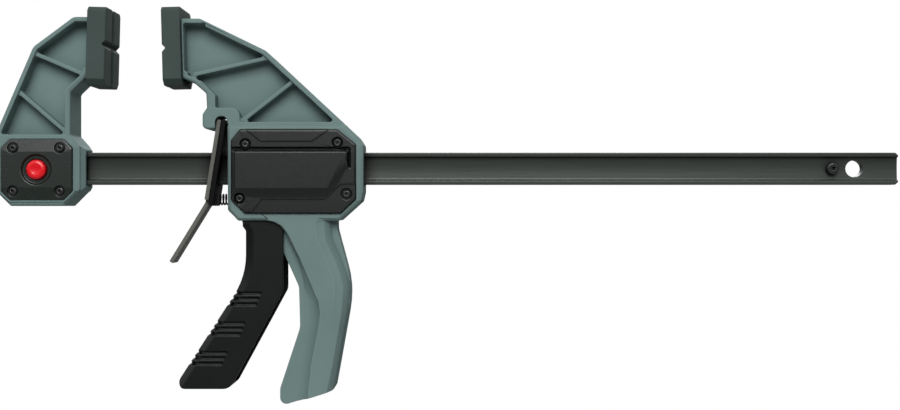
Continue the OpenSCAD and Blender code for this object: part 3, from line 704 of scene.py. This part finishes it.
@dataclass(frozen=True)
class Wire:
    """The sizes of a compression spring, in millimetres.

    Attributes:
        start: Where its axis starts.
        axis: The direction of its axis.
        outer: Its outer diameter.
        wire: Its wire's diameter.
        length: Its length at rest.
        turns: Its number of turns.
        keep: Its length at the joint's limit, as a share of that at rest.
        smooth_below: Edges blunter than this angle are shaded smooth, in degrees.
    """

    start: tuple[float, float, float]
    axis: Axis
    outer: float
    wire: float
    length: float
    turns: int
    keep: float
    smooth_below: float = 50.0


@dataclass
class SubAssembly:
    """Pieces that are built and dressed together.

    Attributes:
        wardrobe: Where finishes come from.
    """

    wardrobe: Wardrobe

    def build(self) -> None:
        """Builds and dresses every piece of the sub-assembly."""
        raise NotImplementedError

    def stand_for(
        self, piece: bpy.types.Object, node: str, body: Body, slot: Slot, finish: Finish
    ) -> None:
        """Dresses a new piece and puts it in the place of a CAD node.

        Args:
            piece: The finished mesh.
            node: The CAD node that it stands for.
            body: The body that it rides on.
            slot: The record's material slot; not used.
            finish: Its surface.
        """
        self.wardrobe.dress(piece, finish)
        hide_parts(node)
        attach(piece, body.value)
        LOG.info("%s: %d faces, %s", piece.name, len(piece.data.polygons), finish.name)

    def round_copy(
        self,
        node: str,
        body: Body,
        slot: Slot,
        finish: Finish,
        rounding: Rounding,
        shape: Optional[Callable[[bpy.types.Object], None]] = None,
    ) -> None:
        """Copies a CAD solid and rounds its sharp edges.

        Args:
            node: The CAD node.
            body: The body that the copy rides on.
            slot: The record's material slot.
            finish: Its surface.
            rounding: How its edges are rounded.
            shape: What else shapes the copy before its edges are rounded.
        """
        piece = bpy.data.objects.new(node + "_piece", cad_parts[node].data.copy())
        bpy.context.scene.collection.objects.link(piece)
        make_active(piece)
        bpy.ops.object.mode_set(mode="EDIT")
        bpy.ops.mesh.select_all(action="SELECT")
        bpy.ops.mesh.remove_doubles(threshold=rounding.join_mm * MM)
        bpy.ops.mesh.dissolve_limited(angle_limit=math.radians(FLAT_BELOW))
        bpy.ops.mesh.select_all(action="SELECT")
        bpy.ops.mesh.quads_convert_to_tris(quad_method="BEAUTY", ngon_method="BEAUTY")
        bpy.ops.object.mode_set(mode="OBJECT")
        if shape:
            shape(piece)
        sharp = bpy.data.objects.new(node + "_sharp", piece.data.copy())
        bpy.context.scene.collection.objects.link(sharp)
        for above, width in ((True, rounding.width_mm), (False, rounding.fine_mm)):
            if pick_sharp(piece, rounding.sharper_than, rounding.split_mm, above):
                bpy.ops.mesh.bevel(
                    offset=width * MM,
                    segments=rounding.segments,
                    clamp_overlap=False,
                    loop_slide=False,
                    miter_outer="ARC",
                )
            bpy.ops.object.mode_set(mode="OBJECT")
        self._draw_in(piece, sharp, REACH_SHARE * rounding.width_mm)
        bpy.data.objects.remove(sharp)
        smooth(piece, rounding.smooth_below)
        apply_modifier(piece, "WEIGHTED_NORMAL", mode="FACE_AREA", keep_sharp=True, weight=FLAT_LEAD)
        self.stand_for(piece, node, body, slot, finish)

    def _draw_in(self, piece: bpy.types.Object, sharp: bpy.types.Object, reach_mm: float) -> None:
        """Brings corners back that the rounding threw off the piece, and joins what then coincides.

        Args:
            piece: The rounded piece.
            sharp: The same piece with its sharp edges.
            reach_mm: How far from the sharp one a rounded corner may lie.
        """
        corners = piece.data.vertices
        astray = {
            corner.index
            for corner in corners
            if (sharp.closest_point_on_mesh(corner.co)[1] - corner.co).length > reach_mm * MM
        }
        near: dict[int, list[int]] = {index: [] for index in astray}
        for edge in piece.data.edges:
            start, end = edge.vertices
            for corner, neighbour in ((start, end), (end, start)):
                if corner in near:
                    near[corner].append(neighbour)
        LOG.info("%s: %d corners drawn in", piece.name, len(astray))
        # Each round moves the corners that have firm neighbours to their middle, and makes them firm
        while ready := [i for i in astray if any(j not in astray for j in near[i])]:
            places: dict[int, Vector] = {}
            for i in ready:
                firm = [corners[j].co for j in near[i] if j not in astray]
                places[i] = sum(firm, Vector()) / len(firm)
            for i, place in places.items():
                corners[i].co = place
            astray -= set(ready)
        make_active(piece)
        bpy.ops.object.mode_set(mode="EDIT")
        bpy.ops.mesh.select_all(action="SELECT")
        bpy.ops.mesh.remove_doubles(threshold=SAME_CORNER_MM * MM)
        bpy.ops.mesh.dissolve_degenerate(threshold=SAME_CORNER_MM * MM)
        bpy.ops.mesh.select_all(action="SELECT")
        bpy.ops.mesh.normals_make_consistent(inside=False)
        bpy.ops.object.mode_set(mode="OBJECT")

    def keep(self, nodes: Sequence[str], finish: Finish) -> None:
        """Dresses CAD nodes that keep their own shape.

        Args:
            nodes: The nodes' names.
            finish: Their surface.
        """
        for name in nodes:
            self.wardrobe.dress(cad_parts[name], finish)
            LOG.info("%s: carried over, %s", name, finish.name)

    def wind(self, node: str, body: Body, joint: str, wire: Wire, finish: Finish) -> None:
        """Winds a spring from round wire.

        Args:
            node: The CAD node that it stands for.
            body: The body that its far end rests on.
            joint: The joint that shortens it; not used.
            wire: Its sizes.
            finish: Its surface.
        """
        deselect()
        bpy.ops.mesh.primitive_circle_add(vertices=WIRE_SIDES, radius=wire.wire / 2 * MM)
        piece = bpy.context.active_object
        piece.name = node + "_piece"
        piece.rotation_euler = (math.radians(90), 0, 0)
        piece.location = ((wire.outer - wire.wire) / 2 * MM, 0, wire.wire / 2 * MM)
        settle(piece)
        apply_modifier(
            piece,
            "SCREW",
            angle=math.tau,
            iterations=wire.turns,
            screw_offset=(wire.length - wire.wire) / wire.turns * MM,
            steps=TURN_STEPS,
            render_steps=TURN_STEPS,
        )
        make_active(piece)
        bpy.ops.object.mode_set(mode="EDIT")
        bpy.ops.mesh.select_all(action="SELECT")
        bpy.ops.mesh.fill_holes(sides=0)
        bpy.ops.mesh.select_all(action="SELECT")
        bpy.ops.mesh.normals_make_consistent(inside=False)
        bpy.ops.object.mode_set(mode="OBJECT")
        along_x = wire.axis is Axis.X
        piece.rotation_euler = (0, math.radians(90), 0) if along_x else (math.radians(-90), 0, 0)
        piece.location = Vector(wire.start) * MM
        settle(piece)
        smooth(piece, wire.smooth_below)
        self.stand_for(piece, node, body, Slot.BRIGHT, finish)
        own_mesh(piece)


# ---- The sub-assemblies ----


@dataclass
class Bar(SubAssembly):
    """The steel bar with its stop screw.

    Attributes:
        corners: Rounding of the bar's ends and holes.
        web_half: Half of the web's thickness.
        web_reach: Height of the web's edges above its middle.
        hollow: How much deeper the rolls leave the web's middle than its edges.
        passes: Heights at which the web is cut to take the hollow.
        fasteners: The CAD nodes of the stop.
    """

    corners: Rounding = Rounding(0.25)
    web_half: float = 2.8
    web_reach: float = 6.5
    hollow: float = 0.3
    passes: tuple[float, ...] = (-5.2, -3.9, -2.6, -1.3, 0.0, 1.3, 2.6, 3.9, 5.2)
    fasteners: tuple[str, ...] = ("stop_screw", "stop_nut")

    def build(self) -> None:
        """Builds the bar and dresses its stop."""
        self.round_copy("bar", Body.BAR, Slot.STEEL, BAR_STEEL, self.corners, self._roll)
        self.keep(self.fasteners, OXIDE_STEEL)

    def _roll(self, piece: bpy.types.Object) -> None:
        """Hollows both faces of the web by the little that the rolls leave.

        Args:
            piece: The bar, before its edges are rounded.
        """
        make_active(piece)
        bpy.ops.object.mode_set(mode="EDIT")
        for height in self.passes:
            bpy.ops.mesh.select_all(action="SELECT")
            bpy.ops.mesh.bisect(plane_co=(0, 0, height * MM), plane_no=(0, 0, 1))
        bpy.ops.object.mode_set(mode="OBJECT")
        for corner in piece.data.vertices:
            on_web = abs(abs(corner.co.y) - self.web_half * MM) < ON_PLANE_MM * MM
            share = 1 - (corner.co.z / (self.web_reach * MM)) ** 2
            if on_web and share > 0:
                corner.co.y -= math.copysign(self.hollow * share * MM, corner.co.y)


@dataclass
class FixedJaw(SubAssembly):
    """The jaw at the bar's end, with its pad, covers, screws and lock button.

    Attributes:
        casting: Rounding of the jaw.
        pad: Rounding of the pad.
        cover: Rounding of the lock covers.
        button_at: Centre of the button's rim, on the CAD dome's foot.
        button_d: Diameter of the button.
        button_sides: Sides of its rim.
        button_smooth: Edges of the button blunter than this angle are shaded smooth, in degrees.
        rings: Rings of the button's face: how far each steps in, and how far toward the front.
        flange_d: Diameter of the flange that holds the button in.
        flange_t: Thickness of the flange.
        shank_l: Distance from the dome's foot back to the flange.
        spring: The button's spring.
    """

    casting: Rounding = Rounding(0.4, join_mm=0.1)
    pad: Rounding = Rounding(0.5, 3)
    cover: Rounding = Rounding(0.2, smooth_below=7.0)
    button_at: tuple[float, float, float] = (-481.5, -13.0, -0.8)
    button_d: float = 11.7
    button_sides: int = 64
    button_smooth: float = 45.0
    rings: tuple[tuple[float, float], ...] = (
        (0.15, 0.5),
        (0.35, 0.5),
        (0.5, 0.4),
        (0.7, 0.27),
        (0.7, 0.08),
        (0.8, -0.15),
        (0.9, -0.25),
    )
    flange_d: float = 14.4
    flange_t: float = 1.2
    shank_l: float = 1.8
    spring: Wire = Wire((-481.5, 3.5, -0.8), Axis.Y, 4.4, 0.5, 8.0, 5, 0.56)

    def build(self) -> None:
        """Builds and dresses the fixed jaw."""
        self.round_copy("fixed_jaw", Body.BAR, Slot.GREEN, GREEN_NYLON, self.casting)
        self.round_copy("fixed_pad", Body.BAR, Slot.PAD, PAD_RUBBER, self.pad)
        for node in ("lock_cover_front", "lock_cover_back"):
            self.round_copy(node, Body.BAR, Slot.COVER, GREY_NYLON, self.cover)
        self.keep(("lock_screws_front", "lock_screws_back"), OXIDE_STEEL)
        self.keep(("lock_pin",), BARE_STEEL)
        self._button()
        self.wind("lock_spring", Body.BAR, "lock_press", self.spring, BARE_STEEL)

    def _button(self) -> None:
        """Models the button as a rim that rounds into a shallow thumb dish."""
        foot = self.button_at[1]
        deselect()
        bpy.ops.mesh.primitive_cylinder_add(
            vertices=self.button_sides,
            radius=self.button_d / 2 * MM,
            depth=self.shank_l * MM,
            location=Vector((self.button_at[0], foot + self.shank_l / 2, self.button_at[2])) * MM,
            rotation=(math.radians(90), 0, 0),
        )
        piece = bpy.context.active_object
        piece.name = "lock_button_piece"
        settle(piece)
        pick_faces(piece, lambda face: face.normal.y < -FACING)
        for inward, forward in self.rings:
            bpy.ops.mesh.inset(thickness=inward * MM)
            bpy.ops.transform.translate(value=(0, -forward * MM, 0))
        bpy.ops.object.mode_set(mode="OBJECT")
        pick_faces(piece, lambda face: face.normal.y > FACING)
        bpy.ops.mesh.extrude_region_move(TRANSFORM_OT_translate={"value": (0, 0, 0)})
        grow = self.flange_d / self.button_d
        centre = Vector((self.button_at[0], foot + self.shank_l, self.button_at[2])) * MM
        bpy.ops.transform.resize(value=(grow, 1, grow), center_override=tuple(centre))
        bpy.ops.mesh.extrude_region_move(TRANSFORM_OT_translate={"value": (0, self.flange_t * MM, 0)})
        bpy.ops.mesh.select_all(action="SELECT")
        bpy.ops.mesh.normals_make_consistent(inside=False)
        bpy.ops.object.mode_set(mode="OBJECT")
        smooth(piece, self.button_smooth)
        self.stand_for(piece, "lock_button", Body.LOCK, Slot.RED, RED_ABS)


@dataclass
class SlidingBody(SubAssembly):
    """The sliding jaw and its housing and handle, with its pad, covers and screws.

    Attributes:
        moulding: Rounding of the body.
        pad: Rounding of the pad.
        cover: Rounding of the mechanism covers.
        groove_floor: Distance of the covers' groove floor from the middle of the clamp, as packed.
        groove_depth: How much deeper the groove is cut.
    """

    moulding: Rounding = Rounding(0.4, split_mm=-36.0, fine_mm=0.03)
    pad: Rounding = Rounding(0.5, 3)
    cover: Rounding = Rounding(0.4, 3, smooth_below=7.0)
    groove_floor: float = 15.2
    groove_depth: float = 0.9

    def build(self) -> None:
        """Builds and dresses the sliding body."""
        self.round_copy("body", Body.SLIDER, Slot.GREEN, GREEN_NYLON, self.moulding)
        self.round_copy("moving_pad", Body.SLIDER, Slot.PAD, PAD_RUBBER, self.pad)
        for node in ("mechanism_cover_front", "mechanism_cover_back"):
            self.round_copy(node, Body.SLIDER, Slot.BLACK, COVER_NYLON, self.cover, self._groove)
        self.keep(("cover_screws_front", "cover_screws_back"), OXIDE_STEEL)

    def _groove(self, piece: bpy.types.Object) -> None:
        """Cuts the groove above a cover's panel deeper, toward the middle of the clamp.

        Args:
            piece: The cover, before its edges are rounded.
        """
        for corner in piece.data.vertices:
            if abs(abs(corner.co.y) - self.groove_floor * MM) < ON_PLANE_MM * MM:
                corner.co.y -= math.copysign(self.groove_depth * MM, corner.co.y)


@dataclass
class TriggerDrive(SubAssembly):
    """The trigger with its pin, the plates that grip the bar and their spring.

    Attributes:
        grip: Rounding of the trigger.
        spring: The drive spring.
    """

    grip: Rounding = Rounding(0.6, 3)
    spring: Wire = Wire((-337.5, 0, 0), Axis.X, 24.24, 1.2, 28.49, 7, 0.875)

    def build(self) -> None:
        """Builds and dresses the trigger drive."""
        self.round_copy("trigger", Body.TRIGGER, Slot.BLACK, BLACK_NYLON, self.grip)
        self.keep(("trigger_pin", "drive_plates"), BARE_STEEL)
        self.wind("drive_spring", Body.SLIDER, "trigger_pivot", self.spring, BARE_STEEL)


@dataclass
class Release(SubAssembly):
    """The release lever, the brake plate behind it and the spring between plate and body.

    Attributes:
        lever: Rounding of the lever.
        plate: Rounding of the brake plate.
        spring: The brake spring.
    """

    lever: Rounding = Rounding(0.3)
    plate: Rounding = Rounding(0.3)
    spring: Wire = Wire((-377.65, 0, -18.2), Axis.X, 7.0, 1.0, 12.74, 7, 0.5)

    def build(self) -> None:
        """Builds and dresses the release."""
        self.round_copy("release_lever", Body.LEVER, Slot.STEEL, LEVER_STEEL, self.lever)
        self.round_copy("brake_plate", Body.BRAKE, Slot.SCREW, PHOSPHATED_STEEL, self.plate)
        self.wind("brake_spring", Body.SLIDER, "release_pivot", self.spring, PHOSPHATED_STEEL)


# ---- Camera, light and floor ----


@dataclass(frozen=True)
class Lamp:
    """A square soft lamp aimed at the middle of the clamp.

    Attributes:
        name: Its name.
        place: Where it stands, in millimetres.
        size: Its side, in millimetres.
        power: Its power in watts.
    """

    name: str
    place: tuple[float, float, float]
    size: float
    power: float


@dataclass
class Studio:
    """A pale floor, soft lamps and the camera.

    Attributes:
        eye: The camera's place, in millimetres.
        focal_px: The lens's focal length, in pixels of the image.
        floor_z: Height of the floor, in millimetres.
        floor_side: Side of the floor, in millimetres.
        floor_glow: Share of plain white in how the floor is seen, against its shaded self.
        floor_white: That plain white, as an sRGB colour.
        floor_colour: The sRGB colour of the floor itself.
        floor_roughness: Its roughness.
        ambient: Light of the room on the clamp, 1 being a white sky.
        wall: Brightness of the room's walls at eye level, as gloss mirrors them.
        rise: How fast they brighten toward the ceiling.
        lamps: The lamps.
    """

    eye: tuple[float, float, float] = (-239.7, -692.0, -21.5)
    focal_px: float = 1162.0
    floor_z: float = -450.0
    floor_side: float = 3300.0
    floor_glow: float = 0.78
    floor_white: str = "#fcfcfc"
    floor_colour: str = "#989898"
    floor_roughness: float = 0.9
    ambient: float = 0.11
    wall: float = 0.2
    rise: float = 2.4
    lamps: tuple[Lamp, ...] = (
        Lamp("front_lamp", (-240, -2500, 1700), 1900, 85.0),
        Lamp("back_lamp", (-240, 2500, 1800), 1700, 60.0),
    )

    def build(self) -> None:
        """Makes the camera, the lamps, the world and the floor."""
        self._camera()
        self._world()
        self._floor()
        for lamp in self.lamps:
            self._hang(lamp)
        bpy.context.scene.view_settings.view_transform = "Standard"
        LOG.info("studio: %d lamps", len(self.lamps))

    def _camera(self) -> None:
        """Points a camera along +Y at the clamp."""
        lens = bpy.data.cameras.new("camera")
        lens.sensor_width = SENSOR_MM
        lens.lens = SENSOR_MM * self.focal_px / IMAGE_WIDTH
        lens.clip_start = 0.01
        camera = bpy.data.objects.new("camera", lens)
        camera.location = Vector(self.eye) * MM
        camera.rotation_euler = (math.radians(90), 0, 0)
        bpy.context.scene.collection.objects.link(camera)
        bpy.context.scene.camera = camera

    def _hang(self, lamp: Lamp) -> None:
        """Hangs one lamp.

        Args:
            lamp: The lamp.
        """
        data = bpy.data.lights.new(lamp.name, "AREA")
        data.shape = "SQUARE"
        data.size = lamp.size * MM
        data.energy = lamp.power
        body = bpy.data.objects.new(lamp.name, data)
        body.location = Vector(lamp.place) * MM
        aim = Vector((self.eye[0], 0, self.eye[2])) * MM - body.location
        body.rotation_euler = aim.to_track_quat("-Z", "Y").to_euler()
        bpy.context.scene.collection.objects.link(body)

    def _seen(self, tree: bpy.types.NodeTree) -> bpy.types.NodeSocket:
        """Tells rays that show the background from rays that light the clamp.

        The room's ceiling is white and its walls are dimmer toward the floor, and the clamp's gloss
        shows them so.

        Args:
            tree: The world's node tree.

        Returns:
            1 for what is seen directly or through glass, the room's brightness for what gloss
            mirrors, and 0 for the rest.
        """
        path = add_node(tree, "ShaderNodeLightPath").outputs
        clear = calculate(tree, "MAXIMUM", path["Is Camera Ray"], path["Is Transmission Ray"])
        way = add_node(tree, "ShaderNodeTexCoord").outputs["Generated"]
        height = add_node(tree, "ShaderNodeSeparateXYZ", {0: way}).outputs["Z"]
        room = calculate(tree, "MULTIPLY_ADD", height, self.rise, self.wall, use_clamp=True)
        mirrored = calculate(tree, "MULTIPLY", path["Is Glossy Ray"], room)
        return calculate(tree, "MAXIMUM", clear, mirrored)

    def _world(self) -> None:
        """Makes a white room that lights the clamp at a plain level."""
        world = bpy.data.worlds.new("white_room")
        world.use_nodes = True
        tree = world.node_tree
        background = tree.nodes["Background"]
        background.inputs["Color"].default_value = (1, 1, 1, 1)
        strength = remap(tree, self._seen(tree), onto=(self.ambient, 1.0))
        tree.links.new(strength, background.inputs["Strength"])
        bpy.context.scene.world = world

    def _floor(self) -> None:
        """Lays a pale floor under the clamp, which keeps a soft shadow."""
        deselect()
        bpy.ops.mesh.primitive_plane_add(
            size=self.floor_side * MM, location=(self.eye[0] * MM, 0, self.floor_z * MM)
        )
        floor = bpy.context.active_object
        floor.name = "floor"
        settle(floor)
        material = bpy.data.materials.new("matt_white_floor")
        material.use_nodes = True
        tree = material.node_tree
        shader = tree.nodes["Principled BSDF"]
        shader.inputs["Base Color"].default_value = linear(self.floor_colour)
        shader.inputs["Roughness"].default_value = self.floor_roughness
        path = add_node(tree, "ShaderNodeLightPath")
        glow = calculate(tree, "MULTIPLY", path.outputs["Is Camera Ray"], self.floor_glow)
        white = add_node(tree, "ShaderNodeEmission", {"Color": linear(self.floor_white), "Strength": 1.0})
        sides = {1: shader.outputs["BSDF"], 2: white.outputs["Emission"]}
        mixed = add_node(tree, "ShaderNodeMixShader", {0: glow, **sides})
        tree.links.new(mixed.outputs["Shader"], tree.nodes["Material Output"].inputs["Surface"])
        floor.data.materials.append(material)


def main() -> None:
    """Builds the studio and every sub-assembly of the clamp."""
    logging.basicConfig(level=logging.INFO, format="%(name)s: %(message)s")
    Studio().build()
    wardrobe = Wardrobe()
    for kind in (Bar, FixedJaw, SlidingBody, TriggerDrive, Release):
        LOG.info("building %s", kind.__name__)
        kind(wardrobe).build()


if __name__ == "__main__":
    main()
